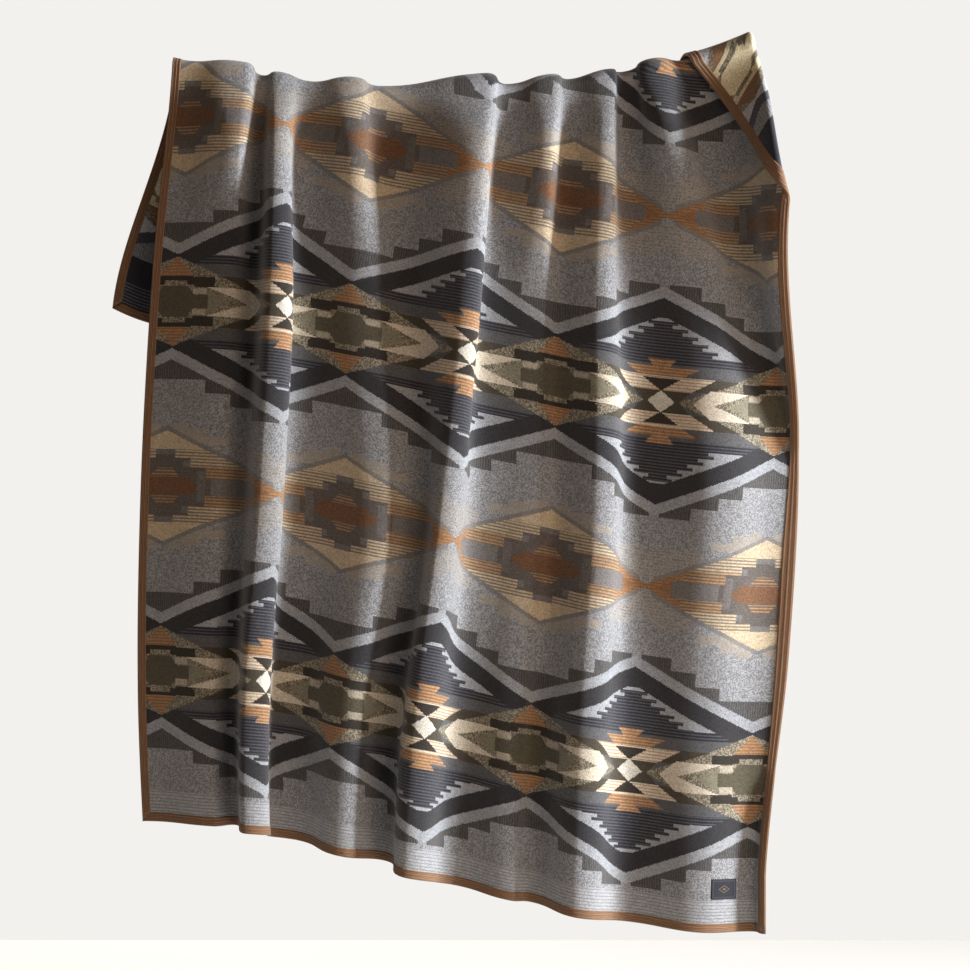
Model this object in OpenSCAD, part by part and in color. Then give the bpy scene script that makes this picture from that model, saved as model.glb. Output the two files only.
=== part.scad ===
// Camp blanket: a bound wool blanket that hangs over a sagging rope in soft folds, with a long drop in
// front, a short drop behind and its top right corner turned over.
// Millimetres. +X runs along the rope, -Y faces the front, +Z is up. The origin is on the rope's axis at
// the middle of the ridge, where the blanket is held.

/* [Cloth] */
// Width of the cloth, across the rope line
cloth_width = 1626; // [1500:1:1700]
// Length of the cloth, from the front hem to the rear hem
cloth_length = 2032; // [1950:1:2150]
// Thickness of the woven cloth
cloth_thickness = 3; // [2:0.5:4]
// Height of the ridge line above the front hem, before the rope's sag is added
front_drop = 1557; // [1450:1:1600]
// How far one end of a weft row hangs below the other, halved
row_skew = 110; // [60:1:130]

/* [Rope seat] */
// Diameter of the rope that the blanket hangs over
rope_diameter = 26; // [16:1:32]
// How far the rope sags between its ends and the middle of the ridge
rope_sag = 73; // [40:1:90]
// Rise of the rope per millimetre towards +X
rope_tilt = 0.029; // [0:0.001:0.05]

/* [Binding] */
// Width of the folded tape on each side of the cloth
binding_width = 17; // [14:0.5:20]
// Thickness of the tape
tape_thickness = 0.8; // [0.6:0.1:1.2]
// Distance of the stitch rows from the bound edge
stitch_rows = [5.5, 11.5];
// Width of a row of stitches
stitch_width = 0.9; // [0.6:0.1:1.2]

/* [Label] */
// Width of the woven label
label_width = 56; // [40:1:60]
// Height of the woven label
label_height = 40; // [30:1:44]
// Distance of the label's centre from the right edge and from the front hem
label_place = [100, 85];

/* [Turned corner] */
// Distance of the fold from the right edge, at the ridge
corner_reach = 126; // [110:1:140]
// How far below the ridge the fold runs out at the right edge
corner_drop = 400; // [380:1:420]
// Radius of the fold's roll
corner_roll = 6; // [5:0.5:8]

/* [Hidden] */

// Clearance between the cloth and what is sewn on it
sewn_gap = 0.2;
half_cloth = cloth_thickness / 2;
tape_inner = half_cloth + sewn_gap;
tape_outer = tape_inner + tape_thickness;
stitch_height = 0.5;
label_thickness = 0.6;

// The folds. Each list runs from the left edge to the right edge, and holds the left edge, then a crest
// and a valley in turn, then the right edge. FOLD_CLOTH says where each is in the flat cloth, and
// FOLD_PLACE where it hangs, for the ridge and then every fold_step down the front.
standard_width = 1626;
fold_step = 425;
FOLD_CLOTH = [
    [0, 185, 240, 290, 372, 470, 560, 805, 880, 985, 1045, 1120, 1190, 1285, 1370, 1626],
    [0, 165, 215, 270, 462, 594, 670, 800, 925, 1030, 1065, 1150, 1255, 1395, 1475, 1626],
    [0, 165, 212, 266, 460, 640, 720, 775, 930, 1040, 1075, 1160, 1290, 1440, 1600, 1626],
    [0, 165, 208, 258, 450, 600, 690, 795, 928, 1040, 1080, 1185, 1322, 1475, 1600, 1626],
    [0, 160, 203, 250, 436, 585, 670, 775, 912, 1035, 1078, 1190, 1325, 1475, 1590, 1626]
];
FOLD_PLACE = [
    [-582, -438, -406, -372, -310, -226, -170, 42, 86, 172, 210, 282, 318, 372, 440, 686],
    [-620, -462, -420, -376, -318, -192, -118, 6, 48, 152, 184, 268, 334, 470, 536, 628],
    [-644, -490, -446, -398, -324, -164, -86, -44, 40, 148, 181, 264, 350, 498, 638, 662],
    [-650, -502, -462, -428, -346, -226, -150, -94, 0, 104, 142, 236, 334, 482, 604, 642],
    [-634, -490, -450, -422, -344, -240, -164, -116, -20, 90, 128, 222, 322, 462, 572, 594]
];
// The same for the rear drop, at rear_level behind the ridge
rear_level = 550;
REAR_CLOTH = [0, 185, 235, 290, 390, 480, 570, 800, 890, 985, 1055, 1130, 1215, 1290, 1375, 1626];
REAR_PLACE = [-712, -545, -505, -455, -400, -330, -255, -60, -10, 75, 125, 190, 245, 300, 370, 600];

last_knot = len(REAR_CLOTH) - 1;
width_scale = cloth_width / standard_width;
// The tape on the side edges still clears the rope
seat_radius = rope_diameter / 2 + tape_outer + sewn_gap;
seat_quarter = PI * seat_radius / 2;

// ---- small functions ----
function smooth(t) = let (c = max(0, min(1, t))) c * c * (3 - 2 * c);
function mix(a, b, w) = a + (b - a) * w;
function asinh(x) = ln(x + sqrt(x * x + 1));

// A smooth curve through evenly spaced rows of values
function spline(rows, place) =
    let (
        last = len(rows) - 1,
        q = max(0, min(last - 0.000001, place)),
        i = floor(q),
        t = q - i,
        a = rows[max(i - 1, 0)],
        b = rows[i],
        c = rows[i + 1],
        d = rows[min(i + 2, last)]
    )
    0.5 * (2 * b + (c - a) * t + (2 * a - 5 * b + 4 * c - d) * t * t
        + (3 * b - a - 3 * c + d) * t * t * t);

// ---- the hanging cloth ----
// u is measured across the flat cloth from its left edge, v up from the front hem, and s down from the
// ridge along the cloth, with a negative s behind the rope.
function fold_cloth(s) =
    width_scale * (s >= 0
        ? spline(FOLD_CLOTH, s / fold_step)
        : mix(FOLD_CLOTH[0], REAR_CLOTH, smooth(-s / rear_level)));
function fold_place(s) =
    width_scale * (s >= 0
        ? spline(FOLD_PLACE, s / fold_step)
        : mix(FOLD_PLACE[0], REAR_PLACE, smooth(-s / rear_level)));

// How sharply a stretch of cloth turns, so that its length fits into the run it hangs in
function bend(length, run) = max(0.02, min(1.96, 2 * (1 - run / length)));
// Share of a stretch's run that is used up at t
function run_share(t, turn) =
    (t - turn / 2 * (t - sin(360 * t) / (2 * PI))) / (1 - turn / 2);
// Depth that the stretch has gained at t, per millimetre of cloth
function depth_term(c, turn) =
    let (a = 2 * turn - turn * turn)
    0.5 * (c * sqrt(a + turn * turn * c * c) + a / turn * asinh(turn * c / sqrt(a)));
function depth_gained(t, turn) = (depth_term(1, turn) - depth_term(cos(180 * t), turn)) / PI;

// Height of a crest above its valleys: the mean of the stretches on both sides of it
function stretch_depth(cloth, place, i) =
    let (length = cloth[i + 1] - cloth[i])
    length * depth_gained(1, bend(length, place[i + 1] - place[i]));
function knot_height(cloth, place, i) =
    i % 2 == 0
        ? 0
        : i == last_knot
            ? stretch_depth(cloth, place, i - 1)
            : (stretch_depth(cloth, place, i - 1) + stretch_depth(cloth, place, i)) / 2;

function stretch_of(cloth, u, i = 0) =
    i >= last_knot - 1 || u < cloth[i + 1] ? i : stretch_of(cloth, u, i + 1);

// Place across and height out from the seat, at u, for the folds of one level
function plan_point(cloth, place, u) =
    u < 0 ? [place[0] + u, 0]
    : u > cloth_width ? [place[last_knot] + u - cloth_width, knot_height(cloth, place, last_knot)]
    : let (
        i = stretch_of(cloth, u),
        length = cloth[i + 1] - cloth[i],
        run = place[i + 1] - place[i],
        turn = bend(length, run),
        t = (u - cloth[i]) / length,
        low = knot_height(cloth, place, i),
        high = knot_height(cloth, place, i + 1)
    )
    [place[i] + run * run_share(t, turn),
        mix(low, high, depth_gained(t, turn) / depth_gained(1, turn))];

// The rope presses the folds flat where they cross it
function press(s) = mix(0.3, 1, smooth((abs(s) - 20) / 130));
function stand_off(s) = 1 + 11 * smooth(abs(s) / 350);

// The seat: over the rope and then straight down on each side. Gives y, z and the outward direction.
function seat_point(s) =
    abs(s) <= seat_quarter
        ? let (a = s / seat_radius * 180 / PI)
            [-seat_radius * sin(a), seat_radius * cos(a), -sin(a), cos(a)]
        : s > 0
            ? [-seat_radius, seat_quarter - s, -1, 0]
            : [seat_radius, seat_quarter + s, 1, 0];

function rope_height(x) = rope_sag * pow(abs(x) / 582, 2.2) + rope_tilt * x;
function ridge_x(u) = plan_point(fold_cloth(0), fold_place(0), u)[0];
function row_drop(u) = row_skew * sin(180 * (u / width_scale - 830) / 1640);
// Height of the ridge above the front hem, along the cloth
function ridge_v(u) = front_drop + rope_height(ridge_x(u)) + row_drop(u) + seat_quarter;

// A point of the cloth before the corner is turned, at a height out from the cloth's middle
function hanging_point(u, s, height) =
    let (
        cloth = fold_cloth(s),
        place = fold_place(s),
        flat = press(s),
        p = plan_point(cloth, place, u),
        ahead = plan_point(cloth, place, u + 2),
        behind = plan_point(cloth, place, u - 2),
        across = ahead[0] - behind[0],
        out = (ahead[1] - behind[1]) * flat,
        size = sqrt(across * across + out * out),
        x = p[0] - height * out / size,
        reach = p[1] * flat + stand_off(s) + height * across / size,
        seat = seat_point(s)
    )
    [x, seat[0] + reach * seat[2], seat[1] + reach * seat[3] + rope_height(ridge_x(u))];

// The turned corner: what lies past the fold line rolls over and back on to the cloth
corner_length = sqrt(corner_reach * corner_reach + corner_drop * corner_drop);
corner_across = corner_drop / corner_length;
corner_down = -corner_reach / corner_length;
function past_fold(u, s) =
    (u - cloth_width + corner_reach) * corner_across + s * corner_down;
function cloth_point(u, s, height) =
    let (d = past_fold(u, s), r = corner_roll)
    d <= 0
        ? hanging_point(u, s, height)
        : let (
            a = d / r * 180 / PI,
            rolled = d < PI * r,
            along = rolled ? (r - height) * sin(a) : PI * r - d,
            lifted = rolled ? r - (r - height) * cos(a) : 2 * r - height
        )
        hanging_point(u + (along - d) * corner_across, s + (along - d) * corner_down, lifted);

// ---- the grid ----
// Level rows, from the rear hem up, over the rope, and down to the front hem. Each is a side of the rope
// (behind, over or in front) and a share of that side's length. The row next to each hem lies under the
// inner edge of its binding. Rows lie close where the turned corner crosses the rope and where it runs out.
rear_cells = [7, 4];
seat_cells = 6;
front_cells = [4, 8, 11];
corner_back = 0.42;
corner_start = 0.175;
corner_end = 0.228;
ROWS = concat(
    [[-1, 1], [-1, 1 - binding_width / (cloth_length - front_drop)]],
    [for (i = [rear_cells[1] - 1 : -1 : 1]) [-1, mix(corner_back, 1, i / rear_cells[1])]],
    [for (i = [rear_cells[0] : -1 : 1]) [-1, corner_back * i / rear_cells[0]]],
    [for (i = [0 : seat_cells]) [0, 2 * i / seat_cells - 1]],
    [for (i = [1 : front_cells[0] - 1]) [1, corner_start * i / front_cells[0]]],
    [for (i = [0 : front_cells[1]]) [1, mix(corner_start, corner_end, i / front_cells[1])]],
    [for (i = [1 : front_cells[2] - 1]) [1, mix(corner_end, 1, i / front_cells[2])]],
    [[1, 1 - binding_width / front_drop], [1, 1]]
);
function row_s(row, u) =
    row[0] == 0 ? seat_quarter * row[1]
    : row[0] > 0 ? seat_quarter + row[1] * (ridge_v(u) - seat_quarter)
    : -seat_quarter - row[1] * (cloth_length - ridge_v(u) - seat_quarter);

// Where a row meets the fold of the turned corner. The row isn't level in the cloth, so the place is
// found again from the row's height at the first answer.
fold_margin = 60;
function fold_line_u(s) =
    min(cloth_width - fold_margin, cloth_width - corner_reach * (1 - s / corner_drop));
function fold_u(row, u) = fold_line_u(row_s(row, u));

// Where a row meets each fold line, found again from the row's height at the first answer
function folds_of(row) =
    let (level = fold_cloth(row_s(row, cloth_width / 2)))
    [for (i = [0 : last_knot]) fold_cloth(row_s(row, level[i]))[i]];

// Columns follow the folds, and close up along the turned corner
cells_per_stretch = 4;
roll_cells = 5;
flap_cells = 6;
roll_cloth = PI * corner_roll * corner_length / corner_drop;
function columns(row) =
    let (
        cloth = folds_of(row),
        edge = fold_u(row, fold_u(row, cloth_width - corner_reach)),
        start = min(cloth[last_knot - 1], edge - 20),
        cells = cells_per_stretch
    )
    concat(
        [0],
        [for (k = [0 : cells - 1]) mix(binding_width, cloth[1], k / cells)],
        [for (i = [1 : last_knot - 3], k = [0 : cells - 1]) mix(cloth[i], cloth[i + 1], k / cells)],
        [for (k = [0 : cells - 1]) mix(cloth[last_knot - 2], start, k / cells)],
        [for (k = [0 : cells - 1]) mix(start, edge, k / cells)],
        [for (k = [0 : roll_cells - 1]) edge + roll_cloth * k / roll_cells],
        [for (k = [0 : flap_cells]) mix(edge + roll_cloth, cloth_width - binding_width, k / flap_cells)],
        [cloth_width]
    );
GRID = [for (row = ROWS) [for (u = columns(row)) [u, row_s(row, u)]]];

// ---- solids on the cloth ----
// A closed solid from rings of points, capped at both ends. flips says which side of the ring has its cells
// split along their other diagonal, so that both skins of a thin wall are split alike.
module swept(rings, flips) {
    n = len(rings[0]);
    m = len(rings);
    polyhedron(
        points = [for (ring = rings) each ring],
        faces = concat(
            [for (i = [0 : m - 2], j = [0 : n - 1])
                let (a = i * n + j, b = i * n + (j + 1) % n)
                each flips[j] ? [[a, b, a + n], [b, b + n, a + n]] : [[a, b, b + n], [a, b + n, a + n]]],
            [[for (j = [n - 1 : -1 : 0]) j]],
            [[for (j = [0 : n - 1]) (m - 1) * n + j]]
        ),
        convexity = 10
    );
}
function reversed(list) = [for (i = [len(list) - 1 : -1 : 0]) list[i]];
function inward(profile) =
    [for (j = [0 : len(profile) - 1]) profile[(j + 1) % len(profile)][0] < profile[j][0]];

// A sheet between two heights over a grid of [u, s] places
module sheet(grid, low, high) {
    m = len(grid);
    n = len(grid[0]);
    layer = m * n;
    rim = concat(
        [for (j = [0 : n - 1]) j],
        [for (i = [1 : m - 1]) i * n + n - 1],
        [for (j = [n - 2 : -1 : 0]) (m - 1) * n + j],
        [for (i = [m - 2 : -1 : 1]) i * n]
    );
    polyhedron(
        points = concat(
            [for (line = grid, p = line) cloth_point(p[0], p[1], high)],
            [for (line = grid, p = line) cloth_point(p[0], p[1], low)]
        ),
        faces = concat(
            [for (i = [0 : m - 2], j = [0 : n - 2])
                let (a = i * n + j) each [[a, a + 1, a + n + 1], [a, a + n + 1, a + n]]],
            [for (i = [0 : m - 2], j = [0 : n - 2])
                let (a = layer + i * n + j) each [[a, a + n + 1, a + 1], [a, a + n, a + n + 1]]],
            [for (k = [0 : len(rim) - 1])
                let (a = rim[k], b = rim[(k + 1) % len(rim)])
                each [[a, a + layer, b + layer], [a, b + layer, b]]]
        ),
        convexity = 10
    );
}

// Near a corner the bindings are cut along the mitre, so a point's distance from the end grows with its
// distance w from the bound edge
mitre_reach = 120;
mitre_gap = 0.15;
function mitred(distance, w) =
    distance < mitre_reach ? mix(w + mitre_gap, mitre_reach, distance / mitre_reach) : distance;
function between_mitres(distance, length, w) =
    distance < length / 2 ? mitred(distance, w) : length - mitred(length - distance, w);

// A place at distance w in from one of the four edges, at one station along it
function side_place(row, w, right) =
    let (
        edge = right ? cloth_width : 0,
        v = ridge_v(edge) - row_s(row, edge),
        along = between_mitres(v, cloth_length, w)
    )
    [right ? cloth_width - w : w, ridge_v(edge) - along];
function hem_place(u, w, rear) =
    let (across = between_mitres(u, cloth_width, w))
    [across, ridge_v(across) - (rear ? cloth_length - w : w)];

// A profile of [distance from the edge, height] points, swept along an edge
module along_side(profile, right) {
    turned = right ? reversed(profile) : profile;
    swept([for (row = ROWS) [for (q = turned)
        let (p = side_place(row, q[0], right)) cloth_point(p[0], p[1], q[1])]], inward(turned));
}
module along_hem(profile, rear) {
    turned = rear ? reversed(profile) : profile;
    swept([for (u = columns(ROWS[rear ? 0 : len(ROWS) - 1])) [for (q = turned)
        let (p = hem_place(u, q[0], rear)) cloth_point(p[0], p[1], q[1])]], inward(turned));
}

// The tape wraps the edge: its profile is a U that opens inwards, with so many parts across each leg
tape_edge = sewn_gap + tape_thickness;
function tape(parts) = concat(
    [for (k = [0 : parts]) [mix(binding_width, -sewn_gap, k / parts), tape_inner]],
    [for (k = [0 : parts]) [mix(-sewn_gap, binding_width, k / parts), -tape_inner]],
    [for (k = [0 : parts]) [mix(binding_width, 0, k / parts), -tape_outer]],
    [[-tape_edge, -tape_inner / 2], [-tape_edge, tape_inner / 2]],
    [for (k = [0 : parts]) [mix(0, binding_width, k / parts), tape_outer]]
);
// A row of stitches is a ridge on the tape
function thread(w, face) =
    let (near = tape_outer + 0.02, half = stitch_width / 2)
    [[w + face * half, face * near], [w - face * half, face * near], [w, face * (near + stitch_height)]];

// ---- sub-parts ----
module woven_panel() {
    color("#8a8a8c") sheet(GRID, -half_cloth, half_cloth);
}

// The right side turns over with the corner, so its tape bends across its width too
rolled_parts = 4;
module side_binding(right) {
    color("#a06d45") along_side(tape(right ? rolled_parts : 1), right);
}

module hem_binding(rear) {
    color("#a06d45") along_hem(tape(1), rear);
}

module side_stitching(right) {
    color("#7c4a2a") for (w = stitch_rows, face = [1, -1]) along_side(thread(w, face), right);
}

module hem_stitching(rear) {
    color("#7c4a2a") for (w = stitch_rows, face = [1, -1]) along_hem(thread(w, face), rear);
}

// A flat patch on the front face, with its centre at the label's place
label_low = half_cloth + 1;
label_top = label_low + label_thickness;
module patch(left, right, bottom, top, low, high) {
    middle = cloth_width - label_place[0];
    cells = 4;
    sheet([for (i = [cells : -1 : 0]) [for (j = [0 : cells])
        let (
            u = middle + mix(left, right, j / cells),
            v = label_place[1] + mix(bottom, top, i / cells)
        )
        [u, ridge_v(u) - v]]], low, high);
}

module label() {
    color("#20202e") patch(-label_width / 2, label_width / 2, -label_height / 2, label_height / 2,
        label_low, label_top);
}

module label_stitching() {
    x = label_width / 2 - 2;
    y = label_height / 2 - 2;
    low = label_top + 0.02;
    high = low + stitch_height;
    color("#3a3a4c") {
        for (side = [-1, 1]) {
            patch(side * x - stitch_width / 2, side * x + stitch_width / 2, -y, y, low, high);
            patch(-x + 1, x - 1, side * y - stitch_width / 2, side * y + stitch_width / 2, low, high);
        }
    }
}

woven_panel();
side_binding(false);  // left_binding
side_binding(true);  // right_binding
hem_binding(false);  // front_hem_binding
hem_binding(true);  // rear_hem_binding
side_stitching(false);  // left_stitching
side_stitching(true);  // right_stitching
hem_stitching(false);  // front_hem_stitching
hem_stitching(true);  // rear_hem_stitching
label();
label_stitching();
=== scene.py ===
"""The camp blanket's looks: a bound jacquard cloth over a rope line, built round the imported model.

The cloth is hung by the same rules as the CAD model, so every piece here is placed by three numbers: u across
the flat cloth from its left edge, s down the cloth from the ridge, and a height out from the middle of its
thickness. Lengths are in millimetres until a mesh is made.
"""

import bpy
import numpy as np
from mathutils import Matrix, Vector


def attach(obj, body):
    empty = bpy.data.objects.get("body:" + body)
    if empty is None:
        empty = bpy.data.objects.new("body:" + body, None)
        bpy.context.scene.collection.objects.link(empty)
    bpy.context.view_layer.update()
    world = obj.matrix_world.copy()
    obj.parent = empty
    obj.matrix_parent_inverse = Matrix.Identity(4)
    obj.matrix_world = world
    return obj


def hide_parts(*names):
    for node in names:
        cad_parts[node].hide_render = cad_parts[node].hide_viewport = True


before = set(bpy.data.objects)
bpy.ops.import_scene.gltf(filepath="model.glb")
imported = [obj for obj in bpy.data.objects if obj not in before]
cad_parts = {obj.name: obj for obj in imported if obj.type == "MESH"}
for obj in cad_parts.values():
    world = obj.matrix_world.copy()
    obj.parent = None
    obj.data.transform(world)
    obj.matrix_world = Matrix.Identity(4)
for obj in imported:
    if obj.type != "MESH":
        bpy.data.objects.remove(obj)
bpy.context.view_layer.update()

MM = 0.001

# ---- the cloth and what is sewn on it, with the sizes that the CAD model has ----
CLOTH_WIDTH = 1626
CLOTH_LENGTH = 2032
HALF_CLOTH = 1.5
FRONT_DROP = 1557
# A weft row hangs this far below and above its middle at its two ends, in part of a wave across the cloth
ROW_SKEW = 110
SKEW_MIDDLE = 830
SKEW_SPAN = 1640
# The rope sags this much over the reach, and rises steadily towards +X
ROPE_SAG = 73
SAG_REACH = 582
SAG_POWER = 2.2
ROPE_TILT = 0.029
SEAT_RADIUS = 15.7
SEAT_QUARTER = np.pi * SEAT_RADIUS / 2
BINDING_WIDTH = 17
STITCH_ROWS = (5.5, 11.5)
LABEL_SIZE = (56, 40)
LABEL_PLACE = (100, 85)
CORNER_REACH = 126
CORNER_DROP = 400
CORNER_ROLL = 6
# How near the turned corner's fold may come to the right edge
FOLD_MARGIN = 60

# The folds: the left edge, then a crest and a valley in turn, then the right edge. FOLD_CLOTH is in the flat
# cloth and FOLD_PLACE along the rope, at the ridge and then every FOLD_STEP down the front.
FOLD_STEP = 425
FOLD_CLOTH = np.array([
    [0, 185, 240, 290, 372, 470, 560, 805, 880, 985, 1045, 1120, 1190, 1285, 1370, 1626],
    [0, 165, 215, 270, 462, 594, 670, 800, 925, 1030, 1065, 1150, 1255, 1395, 1475, 1626],
    [0, 165, 212, 266, 460, 640, 720, 775, 930, 1040, 1075, 1160, 1290, 1440, 1600, 1626],
    [0, 165, 208, 258, 450, 600, 690, 795, 928, 1040, 1080, 1185, 1322, 1475, 1600, 1626],
    [0, 160, 203, 250, 436, 585, 670, 775, 912, 1035, 1078, 1190, 1325, 1475, 1590, 1626],
], float)
FOLD_PLACE = np.array([
    [-582, -438, -406, -372, -310, -226, -170, 42, 86, 172, 210, 282, 318, 372, 440, 686],
    [-620, -462, -420, -376, -318, -192, -118, 6, 48, 152, 184, 268, 334, 470, 536, 628],
    [-644, -490, -446, -398, -324, -164, -86, -44, 40, 148, 181, 264, 350, 498, 638, 662],
    [-650, -502, -462, -428, -346, -226, -150, -94, 0, 104, 142, 236, 334, 482, 604, 642],
    [-634, -490, -450, -422, -344, -240, -164, -116, -20, 90, 128, 222, 322, 462, 572, 594],
], float)
REAR_LEVEL = 550
REAR_CLOTH = np.array(
    [0, 185, 235, 290, 390, 480, 570, 800, 890, 985, 1055, 1130, 1215, 1290, 1375, 1626], float
)
REAR_PLACE = np.array(
    [-712, -545, -505, -455, -400, -330, -255, -60, -10, 75, 125, 190, 245, 300, 370, 600], float
)
LAST_KNOT = len(REAR_CLOTH) - 1


def smooth(t):
    c = np.clip(t, 0, 1)
    return c * c * (3 - 2 * c)


def mix(a, b, w):
    return a + (b - a) * w


def spline(rows, place):
    """A smooth curve through evenly spaced rows, at each of the places."""
    last = len(rows) - 1
    q = np.clip(place, 0, last - 1e-6)
    i = np.floor(q).astype(int)
    t = (q - i)[:, None]
    a, b, c, d = rows[np.maximum(i - 1, 0)], rows[i], rows[i + 1], rows[np.minimum(i + 2, last)]
    return 0.5 * (2 * b + (c - a) * t + (2 * a - 5 * b + 4 * c - d) * t**2 + (3 * b - a - 3 * c + d) * t**3)


def knots(front, rear, s):
    """The fold lines at each distance s from the ridge."""
    behind = mix(front[0], rear, smooth(-s / REAR_LEVEL)[:, None])
    return np.where((s >= 0)[:, None], spline(front, s / FOLD_STEP), behind)


def bend(length, run):
    """How sharply a stretch of cloth turns, so that its length fits into its run."""
    return np.clip(2 * (1 - run / length), 0.02, 1.96)


def run_share(t, turn):
    return (t - turn / 2 * (t - np.sin(2 * np.pi * t) / (2 * np.pi))) / (1 - turn / 2)


def depth_gained(t, turn):
    """Depth that a stretch has gained at t, per millimetre of cloth."""
    a = 2 * turn - turn**2

    def term(c):
        return 0.5 * (c * np.sqrt(a + (turn * c) ** 2) + a / turn * np.arcsinh(turn * c / np.sqrt(a)))

    return (term(1.0) - term(np.cos(np.pi * t))) / np.pi


def plan_point(cloth, place, u):
    """Place along the rope and height out from the seat, for the folds given for each u."""
    lengths, runs = np.diff(cloth, axis=1), np.diff(place, axis=1)
    turns = bend(lengths, runs)
    depths = lengths * depth_gained(1.0, turns)
    heights = np.zeros_like(cloth)
    heights[:, 1:LAST_KNOT:2] = (depths[:, 0:-1:2] + depths[:, 1::2]) / 2
    heights[:, LAST_KNOT] = depths[:, -1]
    n = np.arange(len(u))
    i = (u[:, None] >= cloth[:, 1:LAST_KNOT]).sum(1)
    t = np.clip((u - cloth[n, i]) / lengths[n, i], 0, 1)
    turn = turns[n, i]
    x = place[n, i] + runs[n, i] * run_share(t, turn)
    y = mix(heights[n, i], heights[n, i + 1], depth_gained(t, turn) / depth_gained(1.0, turn))
    return x + np.minimum(u, 0) + np.maximum(u - CLOTH_WIDTH, 0), y


def ridge_x(u):
    s = np.zeros(len(u))
    return plan_point(knots(FOLD_CLOTH, REAR_CLOTH, s), knots(FOLD_PLACE, REAR_PLACE, s), u)[0]


def rope_height(x):
    return ROPE_SAG * (np.abs(x) / SAG_REACH) ** SAG_POWER + ROPE_TILT * x


def ridge_v(u):
    """Height of the ridge above the front hem, along the cloth."""
    row_drop = ROW_SKEW * np.sin(np.pi * (u - SKEW_MIDDLE) / SKEW_SPAN)
    return FRONT_DROP + rope_height(ridge_x(u)) + row_drop + SEAT_QUARTER


def ripple(u, s):
    """Small waves of a soft cloth that the main folds leave, faded out where the rope holds it."""
    free = smooth((np.abs(s) - 60) / 250)
    waves = (
        0.25 * np.sin(u / 23 + 1.7 * np.sin(s / 210))
        + 0.4 * np.sin(u / 41 - s / 330 + 2)
        + 0.4 * np.sin(s / 57 + 2.1 * np.sin(u / 90))
        + 0.9 * np.sin(u / 71 + s / 160)
    )
    return free * waves


def press(s):
    """The rope presses the folds flat where they cross it."""
    return mix(0.3, 1, smooth((np.abs(s) - 20) / 130))


def clearance(s):
    """How far the folds stand off from the rope's sides, more further down."""
    return 1 + 11 * smooth(np.abs(s) / 350)


def hanging_point(u, s, height):
    """A point of the cloth as it hangs, without the turned corner."""
    cloth, place = knots(FOLD_CLOTH, REAR_CLOTH, s), knots(FOLD_PLACE, REAR_PLACE, s)
    flat = press(s)
    x, y = plan_point(cloth, place, u)
    # the slope of the cloth, from two near points
    near = 2
    ahead, behind = plan_point(cloth, place, u + near), plan_point(cloth, place, u - near)
    across = ahead[0] - behind[0]
    out = (ahead[1] - behind[1]) * flat
    size = np.hypot(across, out)
    height = height + ripple(u, s)
    reach = y * flat + clearance(s) + height * across / size
    a = np.clip(s, -SEAT_QUARTER, SEAT_QUARTER) / SEAT_RADIUS
    below = np.maximum(np.abs(s) - SEAT_QUARTER, 0)
    seat_y, seat_z = -SEAT_RADIUS * np.sin(a), SEAT_RADIUS * np.cos(a) - below
    return np.stack([
        x - height * out / size,
        seat_y - reach * np.sin(a),
        seat_z + reach * np.cos(a) + rope_height(ridge_x(u)),
    ], axis=-1)


CORNER_LENGTH = np.hypot(CORNER_REACH, CORNER_DROP)
CORNER_ACROSS = CORNER_DROP / CORNER_LENGTH
CORNER_DOWN = -CORNER_REACH / CORNER_LENGTH


def cloth_point(u, s, height):
    """A point of the cloth. What lies past the turned corner's fold rolls over and back on to the cloth."""
    u, s, height = (np.ravel(a).astype(float) for a in np.broadcast_arrays(u, s, height))
    r = CORNER_ROLL
    d = np.maximum((u - CLOTH_WIDTH + CORNER_REACH) * CORNER_ACROSS + s * CORNER_DOWN, 0)
    rolled = d < np.pi * r
    along = np.where(rolled, (r - height) * np.sin(d / r), np.pi * r - d)
    lifted = np.where(rolled, r - (r - height) * np.cos(d / r), 2 * r - height)
    moved = along - d
    return hanging_point(u + moved * CORNER_ACROSS, s + moved * CORNER_DOWN, lifted)


# ---- the grid of the cloth ----
# A row is a side, -1 behind the rope, 0 over it and 1 in front, and a share of that side's cloth
SEAT_CELLS = 24


def shares(stops, cells):
    """Evenly spaced values between neighbouring stops, with so many cells in each gap."""
    parts = [np.linspace(a, b, n, endpoint=False) for a, b, n in zip(stops, stops[1:], cells)]
    return np.concatenate([*parts, [stops[-1]]])


REAR_SHARES = shares([1, 0.42, 0], [24, 30])
FRONT_SHARES = shares([0, 0.175, 0.228, 1], [26, 16, 85])
ROWS = (
    [(-1, t) for t in REAR_SHARES[:-1]]
    + [(0, t) for t in np.linspace(-1, 1, SEAT_CELLS + 1)]
    + [(1, t) for t in FRONT_SHARES[1:]]
)


def row_s(row, u):
    side, share = row
    if side == 0:
        return np.full(len(u), SEAT_QUARTER * share)
    if side > 0:
        return SEAT_QUARTER + share * (ridge_v(u) - SEAT_QUARTER)
    return -SEAT_QUARTER - share * (CLOTH_LENGTH - ridge_v(u) - SEAT_QUARTER)


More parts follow.
